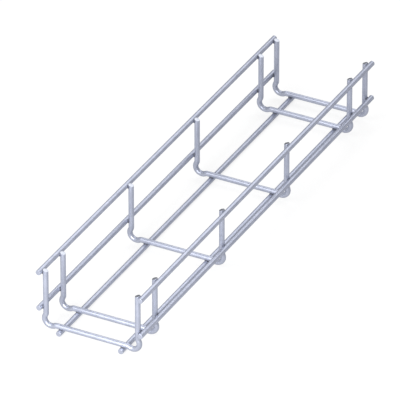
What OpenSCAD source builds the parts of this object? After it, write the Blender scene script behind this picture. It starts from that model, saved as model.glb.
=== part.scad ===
// Wire mesh cable basket: a short length of welded basket tray.
//
// Six cross wires, each bent to a U with joggled corners, carry six straight
// wires on their outside: two under the floor and two along each side.
// X runs across the basket, Y along it and Z up. The origin is on the surface
// that the floor wires rest on, in the middle of the basket.

/* [Wires] */
// Diameter of the bent cross wires
cross_d = 3.9; // [3:0.1:6]
// Diameter of the straight long wires
long_d = 3.9; // [3:0.1:6]
// How deep the long wires are pressed into the cross wires by the welding
weld_sink = 0.2; // [0.1:0.05:0.5]

/* [Cross section] */
// Width over the two legs of a cross wire
basket_w = 75; // [70:1:300]
// Height of the rim wire's centre above the centre line of the floor
rim_height = 41.6; // [36:0.1:100]
// Height of the lower side wire's centre above the centre line of the floor
side_height = 13; // [12:0.1:20]
// Distance between the centres of the two floor wires
floor_spread = 48; // [20:1:50]

/* [Corners] */
// Bend radius of the corner, at the centre line of the wire
corner_r = 5.2; // [4.5:0.1:7]
// Bend radius of the two small bends that lead into the corner
joggle_r = 3.6; // [3:0.1:5]
// How far the corner stands out past the leg and below the floor
bulge = 1.15; // [0.5:0.05:1.6]

/* [Sheared tips] */
// Slope of the sheared tip of each leg, down towards the inside
shear_angle = 35; // [0:1:45]
// How far the high edge of the tip stands above the rim wire
tip_rise = 0.5; // [0:0.1:3]

/* [Length] */
// Distance between cross wires along the middle of the basket
bay = 100; // [50:1:150]
// Distance between the two cross wires of the pair at each end
end_pitch = 25; // [15:1:50]
// How far the long wires run past the centre of the last cross wire
end_overhang = 4; // [3:0.1:15]

/* [Hidden] */
$fn = 48;

zinc = [0.74, 0.76, 0.82];

// A long wire lies this far outside the centre line of the cross wires.
weld_gap = (cross_d + long_d) / 2 - weld_sink;
// Height of the floor's centre line above the surface the basket stands on.
floor_z = weld_gap + long_d / 2;

// Centre line of each leg, and of the long wires, from the middle plane.
leg_x = (basket_w - cross_d) / 2;
long_x = leg_x + weld_gap;
floor_x = floor_spread / 2;
rim_z = floor_z + rim_height;
side_z = floor_z + side_height;

// Corner: one wide arc, with a joggle arc of joggle_angle on each side of it.
joggle_angle = acos(1 - bulge / (corner_r + joggle_r));
corner_inset = corner_r - bulge;
joggle_run = (corner_r + joggle_r) * sin(joggle_angle);
foot_z = corner_inset + joggle_run;
toe_x = leg_x - corner_inset - joggle_run;

// The joggles are a hair thicker than the wire, and the straight stretches and
// the wide arc each run this far into them, so that the pieces fuse cleanly.
joggle_d = cross_d + 0.02;
lap = 0.1;
corner_lap = lap / corner_r * 180 / PI;
corner_sweep = 90 + 2 * (joggle_angle + corner_lap);

// The shear plane meets the leg's centre line here.
tip_height = rim_height + long_d / 2 + tip_rise - cross_d / 2 * tan(shear_angle);

// The cross wires stand in pairs at the ends and one bay apart between them.
middle_count = 4;
middle_run = (middle_count - 1) * bay;
end_y = middle_run / 2 + end_pitch;
long_run = 2 * (end_y + end_overhang);
station = [
    -end_y,
    for (i = [0:middle_count - 1]) -middle_run / 2 + i * bay,
    end_y
];

// Centres of the long wires, as [x, z].
long_wires = [
    [-floor_x, floor_z - weld_gap], [floor_x, floor_z - weld_gap],
    [-long_x, side_z], [long_x, side_z],
    [-long_x, rim_z], [long_x, rim_z]
];

// A straight wire along Y, centred on the origin.
module straight_wire(d, run) {
    rotate([90, 0, 0])
        cylinder(d = d, h = run, center = true);
}

// A bend in the XZ plane, about the origin, from angle a0 over a sweep.
module bend(d, radius, a0, sweep) {
    rotate([90, -a0, 0])
        rotate_extrude(angle = sweep)
            translate([radius, 0])
                circle(d = d);
}

// One leg, from the joggle up past the sheared tip.
module leg() {
    translate([leg_x, 0, foot_z - lap])
        cylinder(d = cross_d, h = rim_height + long_d - foot_z + lap);
}

// The joggled corner between the leg and the floor, on the right side.
module corner() {
    translate([leg_x + joggle_r, 0, foot_z])
        bend(joggle_d, joggle_r, 180, joggle_angle);
    translate([leg_x - corner_inset, 0, corner_inset])
        bend(cross_d, corner_r, -90 - joggle_angle - corner_lap, corner_sweep);
    translate([toe_x, 0, -joggle_r])
        bend(joggle_d, joggle_r, 90 - joggle_angle, joggle_angle);
}

// The straight floor between the two corners.
module cross_floor() {
    rotate([0, 90, 0])
        cylinder(d = cross_d, h = 2 * (toe_x + lap), center = true);
}

// What the shear takes off above the right leg, down towards the inside.
module shear_cut() {
    block = 6 * cross_d;
    translate([leg_x, 0, tip_height])
        rotate([0, -shear_angle, 0])
            translate([-block / 2, -block / 2, 0])
                cube(block);
}

// Right half of a cross wire above its floor: leg and corner, tip sheared.
module cross_side() {
    difference() {
        union() {
            leg();
            corner();
        }
        shear_cut();
    }
}

// One bent cross wire, with a shallow seat where each long wire is welded on.
module cross_wire(number) {
    color(zinc)
        translate([0, station[number - 1], 0])
            difference() {
                translate([0, 0, floor_z])
                    union() {
                        cross_side();
                        mirror([1, 0, 0]) cross_side();
                        cross_floor();
                    }
                for (w = long_wires)
                    translate([w.x, 0, w.y])
                        straight_wire(long_d, 3 * cross_d);
            }
}

// One long wire, by its place in the list.
module long_wire(number) {
    w = long_wires[number - 1];
    color(zinc)
        translate([w.x, 0, w.y])
            straight_wire(long_d, long_run);
}

cross_wire(1);  // cross_wire_1
cross_wire(2);  // cross_wire_2
cross_wire(3);  // cross_wire_3
cross_wire(4);  // cross_wire_4
cross_wire(5);  // cross_wire_5
cross_wire(6);  // cross_wire_6
long_wire(1);  // floor_wire_left
long_wire(2);  // floor_wire_right
long_wire(3);  // side_wire_left
long_wire(4);  // side_wire_right
long_wire(5);  // rim_wire_left
long_wire(6);  // rim_wire_right
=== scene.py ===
import math

import bpy
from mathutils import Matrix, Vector


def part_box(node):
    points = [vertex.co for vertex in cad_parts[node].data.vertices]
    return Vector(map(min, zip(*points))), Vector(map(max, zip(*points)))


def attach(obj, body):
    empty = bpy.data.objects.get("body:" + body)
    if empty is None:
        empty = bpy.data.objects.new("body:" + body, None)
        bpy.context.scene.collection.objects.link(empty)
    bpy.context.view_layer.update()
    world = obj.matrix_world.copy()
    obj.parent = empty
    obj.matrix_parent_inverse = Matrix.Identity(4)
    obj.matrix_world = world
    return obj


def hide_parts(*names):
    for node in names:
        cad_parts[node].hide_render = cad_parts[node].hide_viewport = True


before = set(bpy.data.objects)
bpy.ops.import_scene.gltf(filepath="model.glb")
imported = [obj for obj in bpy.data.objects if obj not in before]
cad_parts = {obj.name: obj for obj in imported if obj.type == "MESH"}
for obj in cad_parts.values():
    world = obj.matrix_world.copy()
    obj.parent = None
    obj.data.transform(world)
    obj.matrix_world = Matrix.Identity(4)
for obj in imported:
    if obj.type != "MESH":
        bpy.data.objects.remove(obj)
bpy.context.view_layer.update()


# Long wires: six straight lengths of drawn steel wire, two under the floor and
# two along each side. They are cut square on a shear that rolls the edge of
# the cut over a little, and are galvanised after the cut.
long_r = 0.00195
cut_roll = 0.00025
wire_sides = 40
crisp_above = math.radians(40)

zinc_metallic = 0.65
zinc_edge = (0.5, 0.5, 0.55, 1)
zinc_dark = (0.36, 0.385, 0.47, 1)
zinc_pale = (0.43, 0.455, 0.55, 1)
zinc_smoothest, zinc_roughest = 0.30, 0.37
mottle_scale = 220
spangle_scale = 600
line_depth = 0.00001
lines_along = (3500, 60, 3500)


def zinc_coat(name, draw_lines):
    """Galvanised steel: satin, bluish and faintly mottled, with the drawing die's lines.

    draw_lines stretches the pattern of the lines so that it runs along the wire.
    """
    coat = bpy.data.materials.new(name)
    coat.use_nodes = True
    nodes, links = coat.node_tree.nodes, coat.node_tree.links
    shader = nodes["Principled BSDF"]
    shader.inputs["Metallic"].default_value = zinc_metallic
    shader.inputs["Specular Tint"].default_value = zinc_edge
    place = nodes.new("ShaderNodeTexCoord")

    mottle = nodes.new("ShaderNodeTexNoise")
    mottle.inputs["Scale"].default_value = mottle_scale
    mottle.inputs["Detail"].default_value = 4
    links.new(place.outputs["Object"], mottle.inputs["Vector"])
    along = nodes.new("ShaderNodeMapping")
    along.inputs["Scale"].default_value = draw_lines
    links.new(place.outputs["Object"], along.inputs["Vector"])
    lines = nodes.new("ShaderNodeTexNoise")
    lines.inputs["Scale"].default_value = 1
    lines.inputs["Detail"].default_value = 3
    links.new(along.outputs["Vector"], lines.inputs["Vector"])

    both = nodes.new("ShaderNodeMath")
    both.operation = "MULTIPLY_ADD"
    both.inputs[1].default_value = 0.5
    half = nodes.new("ShaderNodeMath")
    half.operation = "MULTIPLY"
    half.inputs[1].default_value = 0.5
    links.new(mottle.outputs["Fac"], half.inputs[0])
    links.new(lines.outputs["Fac"], both.inputs[0])
    links.new(half.outputs["Value"], both.inputs[2])
    tint = nodes.new("ShaderNodeValToRGB")
    tint.color_ramp.elements[0].position = 0.38
    tint.color_ramp.elements[0].color = zinc_dark
    tint.color_ramp.elements[1].position = 0.62
    tint.color_ramp.elements[1].color = zinc_pale
    links.new(both.outputs["Value"], tint.inputs["Fac"])
    links.new(tint.outputs["Color"], shader.inputs["Base Color"])

    spangle = nodes.new("ShaderNodeTexVoronoi")
    spangle.inputs["Scale"].default_value = spangle_scale
    links.new(place.outputs["Object"], spangle.inputs["Vector"])
    sheen = nodes.new("ShaderNodeMapRange")
    sheen.inputs["To Min"].default_value = zinc_smoothest
    sheen.inputs["To Max"].default_value = zinc_roughest
    links.new(spangle.outputs["Color"], sheen.inputs["Value"])
    links.new(sheen.outputs["Result"], shader.inputs["Roughness"])

    bump = nodes.new("ShaderNodeBump")
    bump.inputs["Strength"].default_value = 0.35
    bump.inputs["Distance"].default_value = line_depth
    links.new(both.outputs["Value"], bump.inputs["Height"])
    links.new(bump.outputs["Normal"], shader.inputs["Normal"])
    return coat


zinc_along = zinc_coat("zinc_on_straight_wire", lines_along)


def select_faces(piece, wanted):
    """Leaves the piece in edit mode with only the faces that pass the test selected."""
    bpy.ops.object.mode_set(mode="EDIT")
    bpy.ops.mesh.select_mode(type="FACE")
    bpy.ops.mesh.select_all(action="DESELECT")
    bpy.ops.object.mode_set(mode="OBJECT")
    for face in piece.data.polygons:
        face.select = wanted(face)
    bpy.ops.object.mode_set(mode="EDIT")


def roll_edge(width):
    """Rounds the outline of the selected cut faces, as a shear does."""
    bpy.ops.mesh.region_to_loop()
    bpy.ops.mesh.bevel(offset=width, segments=3, affect="EDGES")


def finish_wire(piece, node):
    """Smooths the round of the wire, keeps its cut edges crisp and hands it to the frame."""
    bpy.ops.object.mode_set(mode="OBJECT")
    bpy.ops.object.select_all(action="DESELECT")
    piece.select_set(True)
    bpy.context.view_layer.objects.active = piece
    bpy.ops.object.transform_apply(location=True, rotation=True, scale=True)
    bpy.ops.object.shade_smooth_by_angle(angle=crisp_above)
    piece.name = "galvanised_" + node
    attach(piece, "root")
    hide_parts(node)


for node in ("floor_wire_left", "floor_wire_right", "side_wire_left",
             "side_wire_right", "rim_wire_left", "rim_wire_right"):
    low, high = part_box(node)
    bpy.ops.object.select_all(action="DESELECT")
    bpy.ops.mesh.primitive_cylinder_add(vertices=wire_sides, radius=long_r,
                                        depth=high.y - low.y, location=(low + high) / 2,
                                        rotation=(math.pi / 2, 0, 0))
    long_wire = bpy.context.object
    bpy.ops.object.transform_apply(location=True, rotation=True, scale=True)
    long_wire.data.materials.append(zinc_along)
    select_faces(long_wire, lambda face: abs(face.normal.y) > 0.9)
    roll_edge(cut_roll)
    finish_wire(long_wire, node)


# Cross wires: each is one length of the same wire, bent cold to a U whose
# corners are joggled out past the legs and below the floor. The tips are
# sheared after the bending, on a slope, so that bare steel shows there.
cross_r = 0.00195
floor_z = 0.00565
leg_x = 0.03555
corner_r = 0.0052
joggle_r = 0.0036
bulge = 0.00115
tip_z = 0.04833
shear_slope = math.radians(17)
tip_roll = 0.00014
joggle_steps = 8
corner_steps = 28
merge_gap = 0.000005

steel_edge = (0.1, 0.1, 0.11, 1)
steel_dark = (0.40, 0.42, 0.47, 1)
steel_pale = (0.52, 0.54, 0.60, 1)
tear_depth = 0.00003
tears_across = (300, 6000, 300)
lines_in_plane = (60, 3500, 60)

joggle_angle = math.acos(1 - bulge / (corner_r + joggle_r))
corner_angle = math.pi / 2 + 2 * joggle_angle
corner_inset = corner_r - bulge
joggle_run = (corner_r + joggle_r) * math.sin(joggle_angle)
toe_x = leg_x - corner_inset - joggle_run
foot_z = floor_z + corner_inset + joggle_run
shear_normal = Vector((-math.sin(shear_slope), 0, math.cos(shear_slope)))


def bare_steel():
    """The sheared face of a tip: bare cut steel, torn in fine lines across the cut."""
    steel = bpy.data.materials.new("bare_steel")
    steel.use_nodes = True
    nodes, links = steel.node_tree.nodes, steel.node_tree.links
    shader = nodes["Principled BSDF"]
    shader.inputs["Metallic"].default_value = 1.0
    shader.inputs["Roughness"].default_value = 0.3
    shader.inputs["Specular Tint"].default_value = steel_edge
    place = nodes.new("ShaderNodeTexCoord")
    along = nodes.new("ShaderNodeMapping")
    along.inputs["Scale"].default_value = tears_across
    tear = nodes.new("ShaderNodeTexNoise")
    tear.inputs["Scale"].default_value = 1
    tear.inputs["Detail"].default_value = 2
    links.new(place.outputs["Object"], along.inputs["Vector"])
    links.new(along.outputs["Vector"], tear.inputs["Vector"])
    tone = nodes.new("ShaderNodeValToRGB")
    tone.color_ramp.elements[0].color = steel_dark
    tone.color_ramp.elements[1].color = steel_pale
    links.new(tear.outputs["Fac"], tone.inputs["Fac"])
    links.new(tone.outputs["Color"], shader.inputs["Base Color"])
    bump = nodes.new("ShaderNodeBump")
    bump.inputs["Strength"].default_value = 0.3
    bump.inputs["Distance"].default_value = tear_depth
    links.new(tear.outputs["Fac"], bump.inputs["Height"])
    links.new(bump.outputs["Normal"], shader.inputs["Normal"])
    return steel


bare = bare_steel()

# All the bends lie in one plane, so a line along the wire keeps its place
# across that plane from tip to tip.
zinc_round = zinc_coat("zinc_on_bent_wire", lines_in_plane)

# Half of the U is run out from the middle of its floor, bend by bend, and
# sheared. A mirror then makes the other half.
bpy.ops.object.select_all(action="DESELECT")
bpy.ops.mesh.primitive_circle_add(vertices=wire_sides, radius=cross_r,
                                  rotation=(0, math.pi / 2, 0))
pattern = bpy.context.object
bpy.ops.object.transform_apply(location=True, rotation=True, scale=True)
bpy.ops.object.mode_set(mode="EDIT")
bpy.ops.mesh.select_all(action="SELECT")
bpy.ops.transform.translate(value=(0, 0, floor_z))
bpy.ops.mesh.extrude_region_move(TRANSFORM_OT_translate={"value": (toe_x, 0, 0)})
bpy.ops.mesh.spin(steps=joggle_steps, angle=-joggle_angle, axis=(0, 1, 0),
                  center=(toe_x, 0, floor_z - joggle_r))
bpy.ops.mesh.spin(steps=corner_steps, angle=corner_angle, axis=(0, 1, 0),
                  center=(leg_x - corner_inset, 0, floor_z + corner_inset))
bpy.ops.mesh.spin(steps=joggle_steps, angle=-joggle_angle, axis=(0, 1, 0),
                  center=(leg_x + joggle_r, 0, foot_z))
leg_run = tip_z + 2 * cross_r - foot_z
bpy.ops.mesh.extrude_region_move(TRANSFORM_OT_translate={"value": (0, 0, leg_run)})
bpy.ops.mesh.select_all(action="SELECT")
bpy.ops.mesh.remove_doubles(threshold=merge_gap)
bpy.ops.mesh.select_all(action="SELECT")
bpy.ops.mesh.bisect(plane_co=(leg_x, 0, tip_z), plane_no=shear_normal, clear_outer=True,
                    use_fill=True)
bpy.ops.object.mode_set(mode="OBJECT")
other_half = pattern.modifiers.new("other_half", "MIRROR")
other_half.merge_threshold = merge_gap
bpy.ops.object.modifier_apply(modifier=other_half.name)
pattern.data.materials.append(zinc_round)
pattern.data.materials.append(bare)


def sheared(face):
    return face.normal.z > 0.5 and len(face.vertices) == wire_sides


select_faces(pattern, sheared)
bpy.context.object.active_material_index = 1
bpy.ops.object.material_slot_assign()
roll_edge(tip_roll)
bpy.ops.mesh.select_all(action="SELECT")
bpy.ops.mesh.normals_make_consistent(inside=False)
bpy.ops.object.mode_set(mode="OBJECT")

for number in range(1, 7):
    node = f"cross_wire_{number}"
    low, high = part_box(node)
    bpy.ops.object.select_all(action="DESELECT")
    pattern.select_set(True)
    bpy.context.view_layer.objects.active = pattern
    bpy.ops.object.duplicate()
    cross_wire = bpy.context.object
    bpy.ops.transform.translate(value=(0, (low.y + high.y) / 2, 0))
    finish_wire(cross_wire, node)
bpy.data.objects.remove(pattern)


# Welds: every crossing is pressed and melted together by a pulse of current.
# That leaves a small squeezed bead of steel in the crevice round the contact,
# scaled by the heat and only thinly wetted by the zinc. The bead is coloured
# very dark: part of that is the heat scale, and part is painted shade for the crevice.
bead_r = 0.00182
bead_h = 0.00068
floor_x = 0.024
long_x = 0.03925
side_z = 0.01865
rim_z = 0.04725
rim_drop = 0.0005
bead_lumps = 0.00012

# Bead tones: heat scale, darkened further by painted shade for the crevice round each
# crossing.
scale_and_shade_dark = (0.06, 0.06, 0.075, 1)
scale_and_shade_pale = (0.20, 0.21, 0.25, 1)
scale_dullest, scale_shiniest = 0.75, 0.55
blotch_scale = 1400
blotch_depth = 0.00004


def burnt_zinc_and_painted_shade():
    """Weld bead: grey and dull, blotched where the zinc did not take. Its very dark tone is
    part heat scale and part painted shade for the crevice round the crossing.
    """
    weld_scale_and_shade = bpy.data.materials.new("burnt_zinc_and_painted_shade")
    weld_scale_and_shade.use_nodes = True
    nodes, links = weld_scale_and_shade.node_tree.nodes, weld_scale_and_shade.node_tree.links
    shader = nodes["Principled BSDF"]
    shader.inputs["Metallic"].default_value = 0.4
    place = nodes.new("ShaderNodeTexCoord")
    blotch = nodes.new("ShaderNodeTexNoise")
    blotch.inputs["Scale"].default_value = blotch_scale
    blotch.inputs["Detail"].default_value = 3
    links.new(place.outputs["Object"], blotch.inputs["Vector"])
    tone = nodes.new("ShaderNodeValToRGB")
    tone.color_ramp.elements[0].position = 0.35
    tone.color_ramp.elements[0].color = scale_and_shade_dark
    tone.color_ramp.elements[1].position = 0.75
    tone.color_ramp.elements[1].color = scale_and_shade_pale
    links.new(blotch.outputs["Fac"], tone.inputs["Fac"])
    links.new(tone.outputs["Color"], shader.inputs["Base Color"])
    dullness = nodes.new("ShaderNodeMapRange")
    dullness.inputs["To Min"].default_value = scale_dullest
    dullness.inputs["To Max"].default_value = scale_shiniest
    links.new(blotch.outputs["Fac"], dullness.inputs["Value"])
    links.new(dullness.outputs["Result"], shader.inputs["Roughness"])
    bump = nodes.new("ShaderNodeBump")
    bump.inputs["Strength"].default_value = 0.3
    bump.inputs["Distance"].default_value = blotch_depth
    links.new(blotch.outputs["Fac"], bump.inputs["Height"])
    links.new(bump.outputs["Normal"], shader.inputs["Normal"])
    return weld_scale_and_shade


weld_scale_and_shade = burnt_zinc_and_painted_shade()
contact_z = (floor_z + long_r) / 2
contact_x = (leg_x + long_x) / 2
rim_bead_z = rim_z - rim_drop
lying, standing = (0, 0, 0), (0, math.pi / 2, 0)
contacts = [((-floor_x, 0, contact_z), lying), ((floor_x, 0, contact_z), lying),
            ((-contact_x, 0, side_z), standing), ((contact_x, 0, side_z), standing),
            ((-contact_x, 0, rim_bead_z), standing), ((contact_x, 0, rim_bead_z), standing)]

for number in range(1, 7):
    low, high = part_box(f"cross_wire_{number}")
    beads = []
    for place, turn in contacts:
        bpy.ops.object.select_all(action="DESELECT")
        spot = Vector(place) + Vector((0, (low.y + high.y) / 2, 0))
        bpy.ops.mesh.primitive_uv_sphere_add(segments=20, ring_count=10, radius=1,
                                             location=spot, rotation=turn,
                                             scale=(bead_r, bead_r, bead_h))
        bead = bpy.context.object
        bpy.ops.object.mode_set(mode="EDIT")
        bpy.ops.mesh.select_all(action="SELECT")
        bpy.ops.transform.vertex_random(offset=bead_lumps, uniform=0.3, normal=0.4,
                                        seed=10 * number + len(beads))
        bpy.ops.object.mode_set(mode="OBJECT")
        beads.append(bead)
    bpy.ops.object.select_all(action="DESELECT")
    for bead in beads:
        bead.select_set(True)
    bpy.context.view_layer.objects.active = beads[0]
    bpy.ops.object.join()
    row = bpy.context.object
    bpy.ops.object.transform_apply(location=True, rotation=True, scale=True)
    bpy.ops.object.shade_smooth()
    row.name = f"weld_beads_{number}"
    row.data.materials.append(weld_scale_and_shade)
    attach(row, "root")


# Floor: a plain white tabletop that runs far past the edges of the view. It is
# not part of the basket. The camera and the metal see it as white, and it
# keeps a faint soft shadow.
floor_size = 20
paint_to_camera = 0.95
paint_to_metal = 0.4
glow_to_camera = 0.75

bpy.ops.object.select_all(action="DESELECT")
bpy.ops.mesh.primitive_plane_add(size=floor_size)
tabletop = bpy.context.object
tabletop.name = "white_tabletop"
white = bpy.data.materials.new("white_tabletop")
white.use_nodes = True
nodes, links = white.node_tree.nodes, white.node_tree.links
paint = nodes["Principled BSDF"]
paint.inputs["Roughness"].default_value = 0.9
glow = nodes.new("ShaderNodeEmission")
glow.inputs["Strength"].default_value = 1.0
seen = nodes.new("ShaderNodeLightPath")
albedo = nodes.new("ShaderNodeMapRange")
albedo.inputs["To Min"].default_value = paint_to_metal
albedo.inputs["To Max"].default_value = paint_to_camera
links.new(seen.outputs["Is Camera Ray"], albedo.inputs["Value"])
links.new(albedo.outputs["Result"], paint.inputs["Base Color"])
to_camera = nodes.new("ShaderNodeMath")
to_camera.operation = "MULTIPLY"
to_camera.inputs[1].default_value = glow_to_camera
links.new(seen.outputs["Is Camera Ray"], to_camera.inputs[0])
to_shiny = nodes.new("ShaderNodeMath")
to_shiny.operation = "MAXIMUM"
links.new(seen.outputs["Is Glossy Ray"], to_shiny.inputs[0])
links.new(seen.outputs["Is Transmission Ray"], to_shiny.inputs[1])
share = nodes.new("ShaderNodeMath")
share.operation = "MAXIMUM"
links.new(to_camera.outputs["Value"], share.inputs[0])
links.new(to_shiny.outputs["Value"], share.inputs[1])
blend = nodes.new("ShaderNodeMixShader")
links.new(share.outputs["Value"], blend.inputs["Fac"])
links.new(paint.outputs["BSDF"], blend.inputs[1])
links.new(glow.outputs["Emission"], blend.inputs[2])
links.new(blend.outputs["Shader"], nodes["Material Output"].inputs["Surface"])
tabletop.data.materials.append(white)


# Lights: soft daylight from the front left and a wider one from above and
# behind, and a low softbox that stands close to the near end.
near_end = Vector((0, -0.175, 0.02))
box_reach = 0.45
box_width = 0.45
box_height = 0.25
wall_grey = (0.60, 0.60, 0.60, 1)


def soft_sun(name, azimuth, elevation, strength, width):
    """A sun of the given width in degrees; a strength of 1 lights white paint to white."""
    bpy.ops.object.light_add(type="SUN", rotation=(math.radians(90 - elevation), 0,
                                                   math.radians(azimuth)))
    lamp = bpy.context.object
    lamp.name = name
    lamp.data.energy = strength * math.pi
    lamp.data.angle = math.radians(width)


def softbox(name, azimuth, elevation, power):
    """A softbox that faces the near end of the basket."""
    turn, rise = math.radians(azimuth), math.radians(elevation)
    way = Vector((math.sin(turn) * math.cos(rise), -math.cos(turn) * math.cos(rise),
                  math.sin(rise)))
    bpy.ops.object.light_add(type="AREA", location=near_end + box_reach * way,
                             rotation=(math.pi / 2 - rise, 0, turn))
    lamp = bpy.context.object
    lamp.name = name
    lamp.data.shape = "RECTANGLE"
    lamp.data.size = box_width
    lamp.data.size_y = box_height
    lamp.data.energy = power
    lamp.visible_camera = False


soft_sun("front_sun", -22, 48, 0.33, 40)
soft_sun("back_sun", 184, 50, 0.36, 60)
softbox("near_softbox", 12, 19, 3.2)

world = bpy.data.worlds.new("studio")
bpy.context.scene.world = world
world.use_nodes = True
walls = world.node_tree.nodes["Background"]
walls.inputs["Color"].default_value = wall_grey
walls.inputs["Strength"].default_value = 1.0


# Camera: a long lens from the front right, above the rim.
aim = Vector((-0.00544, -0.00375, 0.01929))
distance = 4.7674
azimuth = math.radians(27.36)
elevation = math.radians(31.70)
toward = Vector((math.sin(azimuth) * math.cos(elevation),
                 -math.cos(azimuth) * math.cos(elevation), math.sin(elevation)))
bpy.ops.object.camera_add(location=aim + distance * toward,
                          rotation=(math.pi / 2 - elevation, 0, azimuth))
camera = bpy.context.object
camera.data.sensor_width = 36
camera.data.lens = 611
camera.data.clip_end = 30
bpy.context.scene.camera = camera

bpy.context.scene.view_settings.view_transform = "Standard"
